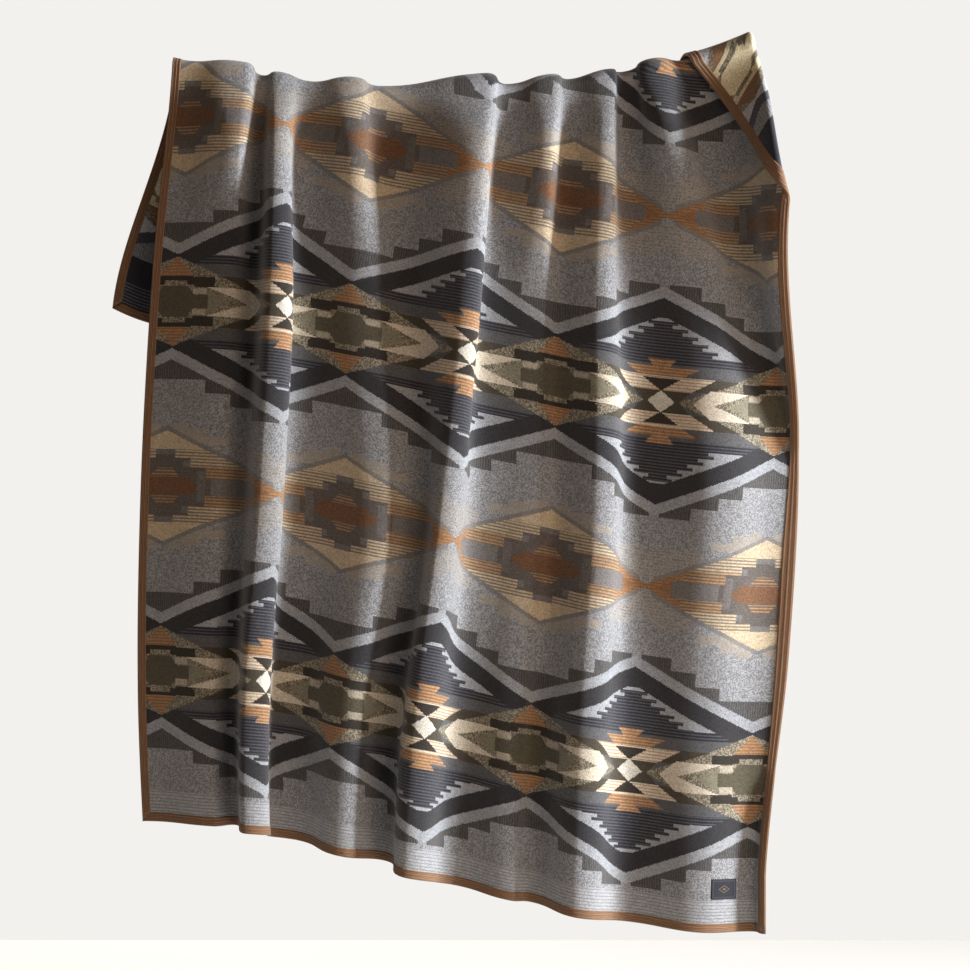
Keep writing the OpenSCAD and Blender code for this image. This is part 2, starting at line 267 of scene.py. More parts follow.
def columns(row):
    """Places across one row that follow the folds and close up along the turned corner.

    The row isn't level in the cloth, so each fold line is found again from the row's height at the first
    answer.
    """
    middle = row_s(row, np.array([CLOTH_WIDTH / 2]))
    level = knots(FOLD_CLOTH, REAR_CLOTH, middle)[0]
    fold_lines = np.diag(knots(FOLD_CLOTH, REAR_CLOTH, row_s(row, level)))
    edge = CLOTH_WIDTH - CORNER_REACH
    for _ in range(2):
        s = row_s(row, np.array([edge]))[0]
        edge = min(CLOTH_WIDTH - FOLD_MARGIN, CLOTH_WIDTH - CORNER_REACH * (1 - s / CORNER_DROP))
    start = min(fold_lines[LAST_KNOT - 1], edge - 20)
    roll = np.pi * CORNER_ROLL / CORNER_ACROSS
    stops = [0, BINDING_WIDTH, *fold_lines[1:LAST_KNOT - 1], start, edge, edge + roll,
             CLOTH_WIDTH - BINDING_WIDTH, CLOTH_WIDTH]
    return shares(stops, [3, 14, *[12] * (LAST_KNOT - 2), 14, 10, 14, 3])


# ---- meshes ----
def make_piece(node, points, faces, places, slot, materials, faces_of=None):
    """A piece that stands for a CAD node.

    places gives each point's u and v for the materials, in millimetres.
    """
    name = f"{node}_detail"
    mesh = bpy.data.meshes.new(name)
    mesh.from_pydata((points * MM).tolist(), [], faces)
    for material in materials:
        mesh.materials.append(material)
    if faces_of is not None:
        mesh.polygons.foreach_set("material_index", faces_of)
    mesh.polygons.foreach_set("use_smooth", [True] * len(mesh.polygons))
    corner = np.empty(len(mesh.loops), int)
    mesh.loops.foreach_get("vertex_index", corner)
    cloth_map = mesh.uv_layers.new(name="cloth")
    cloth_map.data.foreach_set("uv", places[corner].astype(np.float32).ravel())
    mesh.update()
    piece = bpy.data.objects.new(name, mesh)
    bpy.context.scene.collection.objects.link(piece)
    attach(piece, "root")
    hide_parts(node)
    return piece


def sheet_mesh(u, s, low, high):
    """Points, faces and each face's side (0 out, 1 in) of a closed sheet over a grid of places."""
    m, n = u.shape
    layer = m * n
    points = np.concatenate([cloth_point(u, s, high), cloth_point(u, s, low)])
    i, j = np.meshgrid(np.arange(m - 1), np.arange(n - 1), indexing="ij")
    a = (i * n + j).ravel()
    outer = np.stack([a, a + n, a + n + 1, a + 1], axis=1)
    inner = np.stack([a, a + 1, a + n + 1, a + n], axis=1) + layer
    rim = np.concatenate([
        np.arange(n), np.arange(2, m + 1) * n - 1,
        np.arange(m * n - 2, (m - 1) * n - 1, -1), np.arange(m - 2, 0, -1) * n,
    ])
    after = np.roll(rim, -1)
    edge = np.stack([rim, after, after + layer, rim + layer], axis=1)
    faces = np.concatenate([outer, inner, edge])
    side = np.concatenate([np.zeros(len(outer), int), np.ones(len(inner), int), np.zeros(len(edge), int)])
    return points, faces.tolist(), side


def swept_mesh(rings):
    """Points and faces of a closed tube from rings of points, one array (rings, points, 3)."""
    m, n = rings.shape[:2]
    i, j = np.meshgrid(np.arange(m - 1), np.arange(n), indexing="ij")
    a, b = (i * n + j).ravel(), (i * n + (j + 1) % n).ravel()
    faces = np.stack([a, a + n, b + n, b], axis=1).tolist()
    faces += [list(range(n)), list(range(m * n - 1, (m - 1) * n - 1, -1))]
    return rings.reshape(-1, 3), faces


# ---- places along the four edges ----
MITRE_REACH = 120
MITRE_GAP = 0.15


def between_mitres(distance, length, w):
    """Distance along an edge, drawn in near both ends so that the tape's ends meet along the mitre."""

    def mitred(d):
        return np.where(d < MITRE_REACH, mix(w + MITRE_GAP, MITRE_REACH, d / MITRE_REACH), d)

    return np.where(distance < length / 2, mitred(distance), length - mitred(length - distance))


def edge_place(edge, along, w):
    """u and s at a distance along an edge of the cloth and w in from it."""
    along, w = np.broadcast_arrays(along, w)
    shape = along.shape
    along, w = along.ravel().astype(float), w.ravel().astype(float)
    if edge in ("left", "right"):
        limit = 0.0 if edge == "left" else float(CLOTH_WIDTH)
        u = np.abs(limit - w)
        v = between_mitres(along, CLOTH_LENGTH, w)
        s = ridge_v(np.full(len(u), limit)) - v
    else:
        u = between_mitres(along, CLOTH_WIDTH, w)
        s = ridge_v(u) - (w if edge == "front_hem" else CLOTH_LENGTH - w)
    return u.reshape(shape), s.reshape(shape)


EDGES = {
    "left": CLOTH_LENGTH,
    "right": CLOTH_LENGTH,
    "front_hem": CLOTH_WIDTH,
    "rear_hem": CLOTH_WIDTH,
}


def stations(edge):
    """Distances along an edge at which its tape has a ring."""
    if edge in ("left", "right"):
        limit = np.array([0.0 if edge == "left" else CLOTH_WIDTH])
        return np.array([ridge_v(limit)[0] - row_s(row, limit)[0] for row in reversed(ROWS)])
    return columns(ROWS[-1] if edge == "front_hem" else ROWS[0])


# ---- shader maths ----
def linear(r, g, b):
    """An everyday colour, 0 to 255, as the shader's linear one."""
    c = np.array([r, g, b]) / 255
    return (*np.where(c <= 0.04045, c / 12.92, ((c + 0.055) / 1.055) ** 2.4).tolist(), 1.0)


class Field:
    """A number that varies over a surface, with the arithmetic that builds it from others."""

    def __init__(self, tree, socket):
        self.tree, self.socket = tree, socket

    def node(self, operation, *others):
        made = self.tree.nodes.new("ShaderNodeMath")
        made.operation = operation
        for socket, value in zip(made.inputs, (self, *others)):
            if isinstance(value, Field):
                self.tree.links.new(value.socket, socket)
            else:
                socket.default_value = value
        return Field(self.tree, made.outputs[0])

    def __add__(self, other):
        return self.node("ADD", other)

    def __sub__(self, other):
        return self.node("SUBTRACT", other)

    def __rsub__(self, other):
        return self * -1 + other

    def __mul__(self, other):
        return self.node("MULTIPLY", other)

    def __truediv__(self, other):
        return self.node("DIVIDE", other)

    __radd__ = __add__
    __rmul__ = __mul__
    __and__ = __mul__

    def __or__(self, other):
        return self.node("MAXIMUM", other)

    def __lt__(self, other):
        return self.node("LESS_THAN", other)

    def __gt__(self, other):
        return self.node("GREATER_THAN", other)

    def floor(self):
        return self.node("FLOOR")

    def sin(self):
        return self.node("SINE")

    def at_most(self, other):
        return self.node("MINIMUM", other)

    def at_least(self, other):
        return self.node("MAXIMUM", other)

    def between(self, low, high):
        return (self > low) & (self < high)

    def folded(self, half):
        """A zigzag from 0 to half and back, every two halves."""
        return self.node("PINGPONG", half)

    def snapped(self, pitch):
        """The middle of the thread that it falls on."""
        return ((self / pitch).floor() + 0.5) * pitch

    def stripes(self, pitch, share):
        """1 on a share of each pitch, 0 between."""
        return self.node("FLOORED_MODULO", pitch) < pitch * share


class Cloth:
    """The node tree of one woven material, with its coordinates and a colour that inks are laid on."""

    def __init__(self, name):
        self.material = bpy.data.materials.new(name)
        self.material.use_nodes = True
        self.tree = self.material.node_tree
        self.shader = self.tree.nodes["Principled BSDF"]
        uv = self.tree.nodes.new("ShaderNodeUVMap")
        uv.uv_map = "cloth"
        split = self.tree.nodes.new("ShaderNodeSeparateXYZ")
        self.tree.links.new(uv.outputs[0], split.inputs[0])
        self.u, self.v = Field(self.tree, split.outputs[0]), Field(self.tree, split.outputs[1])
        self.colour = None

    def vector(self, x, y):
        made = self.tree.nodes.new("ShaderNodeCombineXYZ")
        for socket, value in zip(made.inputs, (x, y)):
            self.tree.links.new(value.socket, socket)
        return made.outputs[0]

    def noise(self, size_u, size_v, detail=2.0):
        """Soft noise, 0 to 1, whose grains have these sizes."""
        made = self.tree.nodes.new("ShaderNodeTexNoise")
        made.inputs["Scale"].default_value = 1.0
        made.inputs["Detail"].default_value = detail
        self.tree.links.new(self.vector(self.u / size_u, self.v / size_v), made.inputs["Vector"])
        return Field(self.tree, made.outputs["Fac"])

    def speckle(self, size):
        """A random number, 0 to 1, for each small square of cloth."""
        made = self.tree.nodes.new("ShaderNodeTexWhiteNoise")
        made.noise_dimensions = "2D"
        place = self.vector((self.u / size).floor(), (self.v / size).floor())
        self.tree.links.new(place, made.inputs["Vector"])
        return Field(self.tree, made.outputs["Value"])

    def lay(self, colour, mask=None, strength=1.0):
        """Lays a colour over what is there, where the mask is 1."""
        if mask is None:
            self.colour = colour
            return
        made = self.tree.nodes.new("ShaderNodeMix")
        made.data_type = "RGBA"
        factor = mask if strength == 1.0 else mask * strength
        self.tree.links.new(factor.socket, made.inputs["Factor"])
        for socket, value in ((made.inputs["A"], self.colour), (made.inputs["B"], colour)):
            self.set_colour(socket, value)
        self.colour = made.outputs["Result"]

    def set_colour(self, socket, value):
        if isinstance(value, tuple):
            socket.default_value = value
        else:
            self.tree.links.new(value, socket)

    def shade(self, amount):
        """Multiplies the colour by a number."""
        made = self.tree.nodes.new("ShaderNodeVectorMath")
        made.operation = "SCALE"
        base = self.colour[:3] if isinstance(self.colour, tuple) else self.colour
        self.set_colour(made.inputs["Vector"], base)
        self.tree.links.new(amount.socket, made.inputs["Scale"])
        self.colour = made.outputs["Vector"]

    def finish(self, height, depth, roughness=0.9, sheen=0.2):
        """Joins the colour and a relief to the shader. depth is in millimetres."""
        self.set_colour(self.shader.inputs["Base Color"], self.colour)
        bump = self.tree.nodes.new("ShaderNodeBump")
        bump.inputs["Strength"].default_value = 1.0
        bump.inputs["Distance"].default_value = depth * MM
        self.tree.links.new(height.socket, bump.inputs["Height"])
        self.tree.links.new(bump.outputs["Normal"], self.shader.inputs["Normal"])
        self.shader.inputs["Roughness"].default_value = roughness
        self.shader.inputs["Specular IOR Level"].default_value = 0.25
        self.shader.inputs["Sheen Weight"].default_value = sheen
        self.shader.inputs["Sheen Roughness"].default_value = 0.45
        return self.material


# ---- the jacquard ----
# Repeat of the weave, and where its first tall band and first peak column lie in the cloth. The figures'
# sizes are in millimetres of flat cloth, measured from the middle of their band and column.
REPEAT_U = 508
REPEAT_V = 732
HALF_U = REPEAT_U / 2
HALF_V = REPEAT_V / 2
FIRST_PEAK = 305
FIRST_BAND = 300
THREAD = 2.2
RIB = 6.2
HEATHER = 2.1
HEM_STRIPE = 62

FACE = {
    "field": linear(150, 150, 152),
    "field_dark": linear(84, 81, 80),
    "pale": linear(142, 143, 146),
    "charcoal": linear(44, 42, 44),
    "step_dark": linear(66, 63, 62),
    "step_light": linear(88, 86, 84),
    "stripe_dark": linear(38, 37, 41),
    "stripe_light": linear(80, 79, 85),
    "slate": linear(80, 79, 80),
    "orange": linear(132, 95, 64),
    "peach": linear(172, 138, 104),
    "gold": linear(152, 115, 78),
    "rust": linear(106, 74, 51),
    "cream": linear(188, 176, 158),
    "sand": linear(186, 167, 139),
    "white": linear(190, 184, 172),
    "olive": linear(78, 71, 56),
    "olive_light": linear(118, 112, 94),
    "olive_dark": linear(64, 57, 45),
    "brown_black": linear(44, 37, 31),
    "tweed_dark": linear(96, 88, 74),
    "tweed_light": linear(140, 131, 113),
    "muted": linear(86, 77, 71),
    "muted_light": linear(106, 101, 99),
    "tan": linear(162, 146, 122),
    "outline": linear(102, 97, 94),
}
# The other side of the double weave shows each figure in its partner yarn
REVERSE = dict(
    FACE,
    field=linear(40, 40, 50),
    field_dark=linear(30, 30, 38),
    pale=linear(64, 64, 72),
    charcoal=linear(166, 166, 168),
    step_dark=linear(132, 130, 130),
    step_light=linear(84, 84, 92),
    stripe_dark=linear(140, 140, 146),
    stripe_light=linear(78, 78, 86),
    slate=linear(112, 114, 122),
    cream=linear(88, 80, 58),
    sand=linear(96, 86, 66),
    white=linear(60, 52, 36),
    olive=linear(214, 202, 168),
    olive_light=linear(106, 96, 70),
    olive_dark=linear(184, 174, 140),
    brown_black=linear(200, 188, 154),
    peach=linear(88, 80, 70),
    muted=linear(150, 144, 136),
    muted_light=linear(120, 116, 114),
    outline=linear(112, 110, 114),
    tan=linear(66, 62, 66),
)

# The colours of what is sewn on
TAPE_COLOUR = linear(126, 94, 68)
# Painted shade: a darker brown that is laid in the tape's grooves, where its relief lies low
TAPE_GROOVE_SHADE = linear(84, 60, 43)
SEWING_THREAD = linear(128, 82, 50)
LABEL_GROUND = linear(20, 20, 30)
LABEL_BORDER = linear(62, 58, 66)
LABEL_FIGURE = linear(104, 84, 62)
LABEL_THREAD = linear(70, 68, 84)


def tall_band(cloth, ink, x, y):
    """The band of peaks. x is the distance from the nearest peak column and y from the band's middle."""
    far = HALF_U - x
    ribs = cloth.v.stripes(RIB, 0.45)
    tweed = cloth.speckle(THREAD) > 0.46

    # the zigzag, between a pale line and a flight of steps outside it
    outer = 205 - x * (112 / HALF_U)
    beyond = y - outer
    step = ((x - 22) / 52).floor().at_least(0.0).at_most(3.0)
    steps = (beyond > 21) & (y < 230 - step * 25) & (x > 9)
    cloth.lay(ink["step_dark"], steps)
    cloth.lay(ink["step_light"], steps & ((cloth.u + cloth.speckle(RIB) * 2.4).stripes(5.2, 0.42)), 0.7)
    cloth.lay(ink["pale"], beyond.between(-36, 22))
    inner = (outer - 36).at_most(164.0)
    cloth.lay(ink["charcoal"], (beyond < 0) & (y > inner))

    # a stepped figure that fills the foot of each peak
    inside = y < inner
    cloth.lay(ink["pale"], inside)
    slice_down = ((158 - y) / 6.5).floor()
    ragged = (slice_down * 0.5).node("FRACT") * 44
    figure = (y < 158) & (x < 30 + slice_down * 10 - ragged)
    striped = inside & (figure | (y < 92))
    cloth.lay(ink["stripe_dark"], striped)
    cloth.lay(ink["stripe_light"], striped & ribs, 0.75)
    cloth.lay(ink["slate"], y < 74)

    # orange over and under the middle of the peak
    knob = y.between(67, 83) & (x < 14 + (y - 67) * 0.9)
    cap = y.between(46, 68) & (x < 36 + (y - 46) * 1.7)
    cloth.lay(ink["orange"], knob | cap)
    cloth.lay(ink["peach"], (knob | cap) & ribs, 0.75)

    # the arms that open from the white diamond, and meet over the hexagon
    reach = (89 - y) * 2.5 - far
    arm = (y < 89) & (reach > 0)
    cloth.lay(ink["tweed_light"], arm)
    cloth.lay(ink["tweed_dark"], arm & tweed)
    roof = y.between(47, 88) & (far < (89 - y) * 0.95)
    cloth.lay(ink["orange"], roof)
    cloth.lay(ink["peach"], roof & ribs, 0.45)
    cloth.lay(ink["brown_black"], y.between(29, 50) & (reach > 62))
    wing = y.between(21, 50) & (x < 62 + (y - 24) * 1.7)
    cloth.lay(ink["cream"], wing)
    cloth.lay(ink["gold"], wing & cloth.v.stripes(RIB, 0.36), 0.8)
    cloth.lay(ink["olive_dark"], y.between(23, 51) & (x > 62 + (y - 24) * 1.7) & (reach < 3))
    cloth.lay(ink["brown_black"], y.between(21, 45) & (x < (y - 21) * 1.5))

    # the middle row: chevrons, then an arrow and the hexagon
    row = y < 29
    cloth.lay(ink["tweed_light"], row & (reach > 0))
    cloth.lay(ink["tweed_dark"], row & (reach > 0) & tweed)
    cloth.lay(ink["cream"], row & (x > 63 + y * 1.2) & (x < 102 + y * 3.0))
    cloth.lay(ink["olive_dark"], (y < 22) & (x < 36 + y))
    cloth.lay(ink["olive_light"], (y < 24) & (x > 138 + y * 2) & (far > 40))
    hexagon = far + y * 0.8
    cloth.lay(ink["tweed_light"], (y < 42) & (hexagon < 64))
    cloth.lay(ink["tweed_dark"], (y < 42) & (hexagon < 64) & tweed)
    cloth.lay(ink["cream"], y.between(15, 27) & far.between(38, 66), 0.5)
    cloth.lay(ink["olive"], (y < 30) & (hexagon < 50))
    cloth.lay(ink["olive"], (y < 13) & (far < 70))
    cloth.lay(ink["brown_black"], y.between(33, 48) & far.between(24, 84))
    cloth.lay(ink["white"], x / 27 + y / 22 < 1)


def low_band(cloth, ink, x, y):
    """The band of wide diamonds. x is the distance from the diamond's column and y from the band's middle."""
    edge = 110 - x * (106 / HALF_U)
    ribs = cloth.v.stripes(RIB, 0.5)
    # faint steps and stripes in the field around the diamonds
    shelf = (x / 44).floor() * 16
    cloth.lay(ink["tan"], y.between(84, 124) & (x > 14) & (y < 132 - shelf) & (x < 150), 0.4)
    cloth.lay(ink["tan"], y.between(14, 78) & (x > 150) & (y < 214 - x * 0.6) & ribs, 0.42)
    cloth.lay(ink["outline"], (y < edge + 9) & (x < 240), 0.6)

    # three tiers of cream stripes that step back from the outline, round a muted middle
    inside = y < edge
    cloth.lay(ink["muted"], inside)
    cloth.lay(ink["muted_light"], inside & cloth.v.stripes(RIB / 2, 0.5), 0.3)
    cloth.lay(ink["sand"], inside & (y > 73), 0.9)
    top_tier = y.between(56, 73.5) & (x > 22)
    middle_tier = y.between(39, 57) & (x > 56)
    bottom_tier = y.between(17, 39.5) & (x > 92)
    tiers = top_tier | middle_tier | bottom_tier
    cloth.lay(ink["sand"], inside & tiers, 0.9)
    cloth.lay(ink["gold"], inside & tiers & (y < 39.5), 0.8)
    cloth.lay(ink["muted"], inside & tiers & ribs, 0.75)
    cloth.lay(ink["muted_light"], inside & (y.between(62, 73) & (x < 22)))
    cloth.lay(ink["muted_light"], inside & (y.between(38, 52) & (x.between(42, 56))))
    cloth.lay(ink["muted_light"], inside & (y < 17) & (x > 104))
    cloth.lay(ink["muted_light"], inside & (y < 31) & (x > 74) & (x < 92), 0.6)
    cloth.lay(ink["gold"], inside & y.between(19, 35) & (x < 17 + (35 - y)) & ribs)
    cloth.lay(ink["rust"], inside & (y < 18) & (x < 74 - (y / 6).floor() * 9))
    waist = inside & (y > edge - 13) & (x > 178)
    cloth.lay(ink["orange"], waist | (inside & (x > 200)))
    cloth.lay(ink["peach"], waist & ribs, 0.35)


def woven(name, ink):
    """One side of the jacquard."""
    cloth = Cloth(name)
    # the weave's steps: a figure's edge jumps from thread to thread
    u, v = cloth.u.snapped(THREAD), cloth.v.snapped(THREAD)
    x = (u - FIRST_PEAK).folded(HALF_U)
    y = (v - FIRST_BAND).folded(HALF_V)
    heather = cloth.speckle(HEATHER)
    cloth.lay(ink["field"])
    cloth.lay(ink["field_dark"], heather > 0.56, 0.75)
    low_band(cloth, ink, HALF_U - x, HALF_V - y)
    # the hems have a plain stripe with fine lines in place of a cut-off low band
    margin = (v < HEM_STRIPE) | (v > CLOTH_LENGTH - HEM_STRIPE)
    cloth.lay(ink["field"], margin)
    cloth.lay(ink["outline"], margin & cloth.v.stripes(6.4, 0.35), 0.55)
    # the tall band covers everything up to its steps
    tall_band(cloth, ink, x, y)

    yarn = heather * 0.45 + cloth.noise(3.6, 2.6, 3.0) * 0.55
    slub = cloth.noise(18.0, 3.2, 2.0)
    worn = cloth.noise(150.0, 190.0, 1.0)
    cloth.shade(yarn * 0.95 + slub * 0.42 + worn * 0.12 + 0.16)
    twill = ((cloth.u + cloth.v) * (2 * np.pi / 2.6)).sin() * 0.22
    nap = cloth.noise(1.3, 1.8, 3.0) + cloth.noise(6.0, 5.0, 2.0) * 0.7
    return cloth.finish(twill + nap, 0.75, roughness=0.95, sheen=0.3)


def tape_material():
    """Ribbed tape, with painted shade in the grooves between its cords. u runs along the tape and v is the
    distance round its profile.
    """
    cloth = Cloth("binding_tape")
    cloth.lay(TAPE_COLOUR)
    cord = (cloth.v * (2 * np.pi / 3.4)).sin()
    pick = (cloth.u * (2 * np.pi / 1.1) + cloth.v * 2.2).sin()
    # Painted shade: the colour is darkened where the cords' relief dips into the grooves between them
    cloth.lay(TAPE_GROOVE_SHADE, cord < -0.2, 0.75)
    cloth.shade(cloth.noise(30.0, 2.0, 2.0) * 0.5 + cloth.speckle(0.9) * 0.25 + 0.66)
    return cloth.finish(cord * 0.5 + pick * 0.35 + cloth.noise(1.2, 1.2), 0.35, roughness=0.75, sheen=0.15)


def thread_material(name, colour):
    """Twisted sewing thread, with painted shade in the grooves of its twist and a painted highlight on the
    plies. u runs along the thread.
    """
    cloth = Cloth(name)
    cloth.lay(colour)
    ply = ((cloth.u + cloth.v) * (2 * np.pi / 0.8)).sin()
    # Painted shade and highlight: the colour follows the plies' relief, darker in the grooves and lighter on
    # the crests, with random tone on top
    cloth.shade(ply * 0.18 + cloth.noise(8.0, 2.0) * 0.3 + 0.8)
    return cloth.finish(ply, 0.12, roughness=0.6, sheen=0.1)


def label_material():
    """Plain woven label. u and v are measured from its middle."""
    cloth = Cloth("label_weave")
    cloth.lay(LABEL_GROUND)
    across, up = cloth.u.node("ABSOLUTE"), cloth.v.node("ABSOLUTE")
    half_u, half_v = LABEL_SIZE[0] / 2, LABEL_SIZE[1] / 2
    inset = (half_u - across).at_most(half_v - up)
    cloth.lay(LABEL_BORDER, inset.between(3.4, 4.6))
    diamond = across * 0.62 + up
    cloth.lay(LABEL_FIGURE, diamond.between(6.4, 7.8))
    cloth.lay(LABEL_FIGURE, diamond < 2.6)
    warp = (cloth.u * (2 * np.pi / 0.9)).sin()
    weft = (cloth.v * (2 * np.pi / 0.7)).sin()
    cloth.shade(cloth.speckle(0.6) * 0.3 + 0.85)
    return cloth.finish(warp * 0.5 + weft * 0.5, 0.15, roughness=0.6, sheen=0.1)


# ---- pieces ----
def woven_panel():
    u = np.array([columns(row) for row in ROWS])
    s = np.array([row_s(row, line) for row, line in zip(ROWS, u)])
    points, faces, side = sheet_mesh(u, s, -HALF_CLOTH, HALF_CLOTH)
    v = np.array([ridge_v(line) for line in u]) - s
    place = np.stack([u.ravel(), v.ravel()], axis=1)
    piece = make_piece("woven_panel", points, faces, np.concatenate([place, place]), "woven_wool",
                       [woven("wool_face", FACE), woven("wool_reverse", REVERSE)], side)
    lay_out_for_bake(piece, side)
    return piece


def lay_out_for_bake(piece, side):
    """A second map that lays the face and the reverse side by side in one square."""
    mesh = piece.data
    places = np.empty(len(mesh.loops) * 2, np.float32)
    mesh.uv_layers["cloth"].data.foreach_get("uv", places)
    places = places.reshape(-1, 2) / (CLOTH_WIDTH, CLOTH_LENGTH)
    sides = np.repeat(side, [p.loop_total for p in mesh.polygons])
    places[:, 0] = places[:, 0] * 0.49 + 0.005 + sides * 0.5
    places[:, 1] = places[:, 1] * 0.99 + 0.005
    bake_map = mesh.uv_layers.new(name="OFBake")
    bake_map.data.foreach_set("uv", places.ravel())


# The tape's section, with heights out from the middle of the cloth, and distances in from the bound edge
TAPE_INSIDE = 1.55
TAPE_OUTSIDE = 2.15
TAPE_HEM = 1.95
TAPE_RIB = 0.75
TAPE_RIB_PITCH = 6.0
TAPE_CREASE = -0.15
NOSE_START = -0.4
NOSE_DEPTH = 0.75
NOSE_HEIGHT = 2.0


def tape_profile():
    """The tape's cross-section as distances in from the bound edge and heights: three ribs on each side."""
    w = np.linspace(NOSE_START, BINDING_WIDTH, 26)
    rib = np.abs(np.sin(np.pi * (w + 0.5) / TAPE_RIB_PITCH))
    top = TAPE_OUTSIDE + TAPE_RIB * rib**0.7
    top[-1] = TAPE_HEM
    outer = np.stack([w[::-1], top[::-1]], axis=1)
    turn = np.linspace(75, -75, 5) * np.pi / 180
    nose = np.stack([NOSE_START - NOSE_DEPTH * np.cos(turn), NOSE_HEIGHT * np.sin(turn)], axis=1)
    under = np.stack([w, -top], axis=1)
    inner = np.array([
        [BINDING_WIDTH, -TAPE_INSIDE], [TAPE_CREASE, -TAPE_INSIDE],
        [TAPE_CREASE, TAPE_INSIDE], [BINDING_WIDTH, TAPE_INSIDE],
    ])
    return np.concatenate([outer, nose, under, inner])


def binding(edge, material):
    profile = tape_profile()
    if edge in ("right", "rear_hem"):
        profile = profile[::-1]
    along = stations(edge)
    w, height = profile[:, 0][None, :], profile[:, 1][None, :]
    u, s = edge_place(edge, along[:, None], w)
    rings = cloth_point(u, s, np.broadcast_to(height, u.shape)).reshape(*u.shape, 3)
    if edge in ("left", "right"):
        rings = rings[::-1]
    points, faces = swept_mesh(rings)
    around = np.concatenate([[0], np.cumsum(np.hypot(*np.diff(profile, axis=0).T))])
    order = along[::-1] if edge in ("left", "right") else along
    place = np.stack(np.broadcast_arrays(order[:, None], around[None, :]), axis=-1).reshape(-1, 2)
    return make_piece(f"{edge}_binding", points, faces, place, "binding_tape", [material])


# Stitches along the tape: length with the gap after it, and height of the thread's middle
STITCH = 3.6
STITCH_HEIGHT = 2.35
# How far the thread's own pattern moves on from one stitch to the next
STITCH_PATTERN = 3.5
# A stitch ends at this share of its length to each side of its middle, and dips by this much there
STITCH_END = 0.36
STITCH_DIP = 0.25


def stitch_run(place_of, count):
    """Points, faces and places of stitches, one beside the next.

    place_of gives u, s and height for a stitch's number, the share along it from -0.5 to 0.5, and the
    millimetres sideways and up.
    """
    ring = np.array([[0.42, 0], [0, 0.4], [-0.42, 0], [0, -0.4]])
    along = np.array([-STITCH_END, -0.2, 0.2, STITCH_END])
    grow = np.array([0.45, 1.0, 1.0, 0.45])
    k, ends, corners = np.meshgrid(np.arange(count), np.arange(4), np.arange(4), indexing="ij")
    side = ring[corners, 0] * grow[ends]
    up = ring[corners, 1] * grow[ends] - STITCH_DIP * np.abs(along[ends]) / STITCH_END
    points = cloth_point(*place_of(k.ravel(), along[ends].ravel(), side.ravel(), up.ravel()))
    one = [[a * 4 + b, a * 4 + (b + 1) % 4, a * 4 + 4 + (b + 1) % 4, a * 4 + 4 + b]
           for a in range(3) for b in range(4)]
    one += [[3, 2, 1, 0], [12, 13, 14, 15]]
    faces = (np.array(one)[None] + (np.arange(count) * 16)[:, None, None]).reshape(-1, 4).tolist()
    place = np.stack([(k + along[ends]).ravel() * STITCH_PATTERN, side.ravel()], axis=1)
    return points, faces, place


def joined(parts):
    """Several meshes' points, faces and places as one."""
    starts = np.cumsum([0] + [len(p[0]) for p in parts])
    faces = [[i + start for i in face] for part, start in zip(parts, starts) for face in part[1]]
    return np.concatenate([p[0] for p in parts]), faces, np.concatenate([p[2] for p in parts])


def edge_stitching(edge, material):
    length = EDGES[edge]
    parts = []
    for w in STITCH_ROWS:
        for face in (1, -1):
            first = w + STITCH
            count = int((length - 2 * first) / STITCH)

            def place_of(k, along, side, up, w=w, face=face, first=first):
                u, s = edge_place(edge, first + (k + 0.5 + along) * STITCH, w + side)
                return u, s, face * (STITCH_HEIGHT + up)

            parts.append(stitch_run(place_of, count))
    return make_piece(f"{edge}_stitching", *joined(parts), "stitching_thread", [material])


# The label's heights out from the middle of the cloth, and its stitches
LABEL_INSIDE = 1.55
LABEL_RIM = 2.15
LABEL_SWELL = 0.35
LABEL_DENT = 0.2
LABEL_STITCH = 2.4
LABEL_STITCH_INSET = 2
LABEL_STITCH_HEIGHT = 2.45
LABEL_STITCH_SCALE = 0.7


def label_spot(x, y):
    """u and s of a point of the label, measured right and up from its middle."""
    u = CLOTH_WIDTH - LABEL_PLACE[0] + x
    return u, ridge_v(u.ravel()).reshape(u.shape) - LABEL_PLACE[1] - y


def label(material):
    cells_u, cells_v = 28, 20
    x = np.linspace(-0.5, 0.5, cells_u + 1) * LABEL_SIZE[0]
    y = np.linspace(0.5, -0.5, cells_v + 1) * LABEL_SIZE[1]
    x, y = np.meshgrid(x, y)
    u, s = label_spot(x, y)
    inset = np.minimum(LABEL_SIZE[0] / 2 - np.abs(x), LABEL_SIZE[1] / 2 - np.abs(y))
    dent = LABEL_DENT * np.exp(-((inset - LABEL_STITCH_INSET) ** 2) / 0.5)
    top = LABEL_RIM + LABEL_SWELL * smooth(inset / 1.5) - dent
    points, faces, _ = sheet_mesh(u, s, np.full_like(u, LABEL_INSIDE), top)
    place = np.stack([x.ravel(), y.ravel()], axis=1)
    return make_piece("label", points, faces, np.concatenate([place, place]), "label_weave", [material])


def label_stitching(material):
    parts = []
    half = np.array(LABEL_SIZE) / 2 - LABEL_STITCH_INSET
    for axis in (0, 1):
        for sign in (-1, 1):
            count = int(2 * half[axis] / LABEL_STITCH)

            def place_of(k, along, side, up, axis=axis, sign=sign, count=count):
                run = (k + 0.5 + along - count / 2) * LABEL_STITCH
                across = sign * half[1 - axis] + side * LABEL_STITCH_SCALE
                x, y = (run, across) if axis == 0 else (across, run)
                return *label_spot(x, y), LABEL_STITCH_HEIGHT + up * LABEL_STITCH_SCALE

            parts.append(stitch_run(place_of, count))
    return make_piece("label_stitching", *joined(parts), "label_thread", [material])


panel = woven_panel()
tape = tape_material()
sewing_thread = thread_material("stitching_thread", SEWING_THREAD)
sewn_on = []
for edge in EDGES:
    sewn_on += [binding(edge, tape), edge_stitching(edge, sewing_thread)]
sewn_on += [label(label_material()), label_stitching(thread_material("label_thread", LABEL_THREAD))]


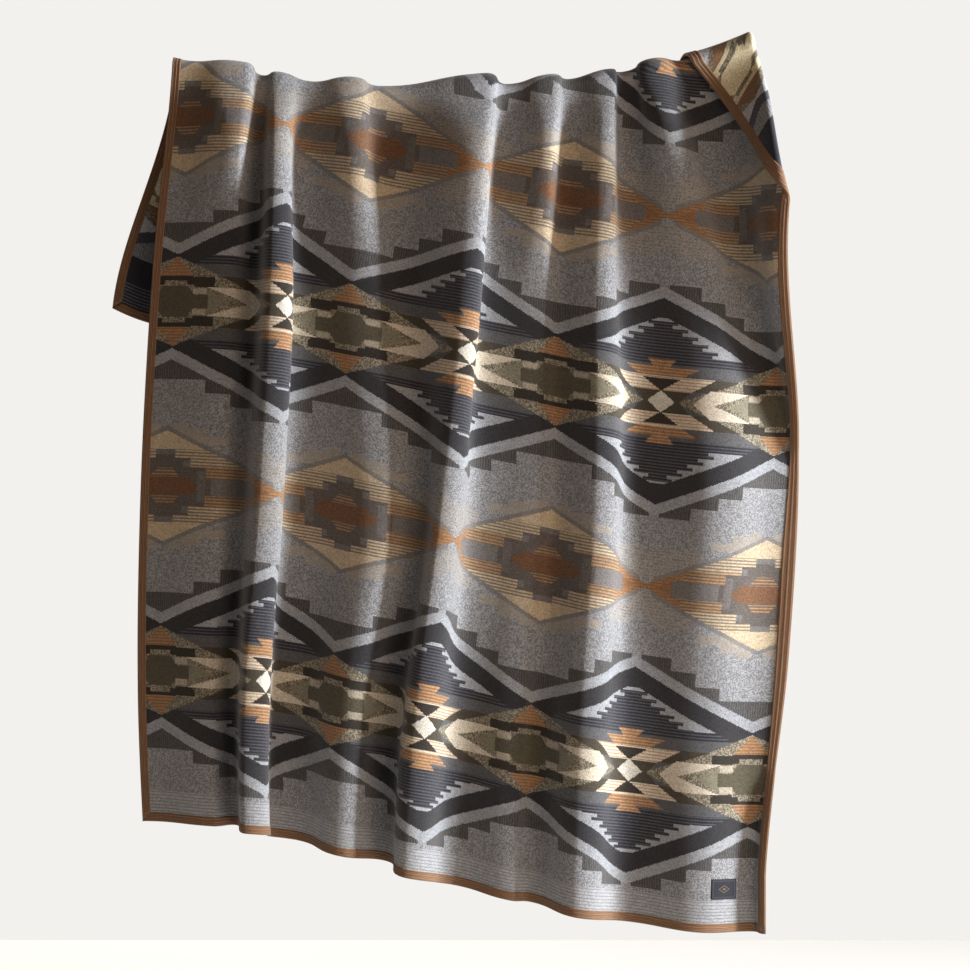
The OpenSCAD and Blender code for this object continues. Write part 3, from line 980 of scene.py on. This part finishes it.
# ---- the studio ----
def plain_material(name, colour, roughness):
    material = bpy.data.materials.new(name)
    material.use_nodes = True
    shader = material.node_tree.nodes["Principled BSDF"]
    shader.inputs["Base Color"].default_value = colour
    shader.inputs["Roughness"].default_value = roughness
    return material


def area_light(name, place, size, watts, colour):
    """A rectangular light that faces the cloth."""
    data = bpy.data.lights.new(name, "AREA")
    data.shape = "RECTANGLE"
    data.size, data.size_y = size
    data.energy = watts
    data.color = colour
    lamp = bpy.data.objects.new(name, data)
    bpy.context.scene.collection.objects.link(lamp)
    lamp.location = place
    lamp.rotation_euler = (Vector(LIT_POINT) - Vector(place)).to_track_quat("-Z", "Y").to_euler()


# The studio's lengths are in metres
PALE_WALL = linear(243, 241, 238)
FLOOR_GREY = linear(196, 194, 190)
FLOOR_GLOW = 0.12
FLOOR_HEIGHT = -2.2
FLOOR_CORNERS = ((-4, -4), (4, -4), (4, 2.52), (-4, 2.52))
FILL_COLOUR = (1.0, 0.75, 0.56, 1.0)
FILL = 0.13
LIT_POINT = (0.05, 0, -0.8)
# Each light's name, place, size, watts and colour
LIGHTS = (
    ("key", (4.3, -1.05, 0.2), (0.7, 2.4), 690, (0.88, 0.94, 1.0)),
    ("bounce", (3.0, -3.6, -0.5), (3.0, 3.0), 72, (1.0, 0.72, 0.5)),
    ("rear", (-1.6, 3.8, 0.8), (3.0, 3.0), 220, (1.0, 0.95, 0.9)),
)
CAMERA_PLACE = (0.04, -4.5, -0.78)
CAMERA_LENS = 83.5


def pale_floor():
    floor_mesh = bpy.data.meshes.new("floor")
    floor_mesh.from_pydata([(x, y, FLOOR_HEIGHT) for x, y in FLOOR_CORNERS], [], [(0, 1, 2, 3)])
    pale = plain_material("floor_pale", FLOOR_GREY, 0.9)
    shader = pale.node_tree.nodes["Principled BSDF"]
    shader.inputs["Emission Color"].default_value = PALE_WALL
    shader.inputs["Emission Strength"].default_value = FLOOR_GLOW
    floor_mesh.materials.append(pale)
    floor = bpy.data.objects.new("floor", floor_mesh)
    bpy.context.scene.collection.objects.link(floor)


def pale_world():
    """A world that is pale to the eye, and lights the cloth only a little."""
    world = bpy.data.worlds.new("studio")
    bpy.context.scene.world = world
    world.use_nodes = True
    tree = world.node_tree
    seen = tree.nodes["Background"]
    seen.inputs["Color"].default_value = PALE_WALL
    fill = tree.nodes.new("ShaderNodeBackground")
    fill.inputs["Color"].default_value = FILL_COLOUR
    fill.inputs["Strength"].default_value = FILL
    rays = tree.nodes.new("ShaderNodeLightPath")
    either = tree.nodes.new("ShaderNodeMixShader")
    tree.links.new(rays.outputs["Is Camera Ray"], either.inputs["Fac"])
    tree.links.new(fill.outputs[0], either.inputs[1])
    tree.links.new(seen.outputs[0], either.inputs[2])
    tree.links.new(either.outputs[0], tree.nodes["World Output"].inputs["Surface"])
    bpy.context.scene.view_settings.view_transform = "Standard"


pale_floor()
pale_world()
for light in LIGHTS:
    area_light(*light)

camera_data = bpy.data.cameras.new("camera")
camera_data.sensor_width = 36
camera_data.lens = CAMERA_LENS
camera = bpy.data.objects.new("camera", camera_data)
bpy.context.scene.collection.objects.link(camera)
camera.location = CAMERA_PLACE
camera.rotation_euler = (np.pi / 2, 0, 0)
bpy.context.scene.camera = camera
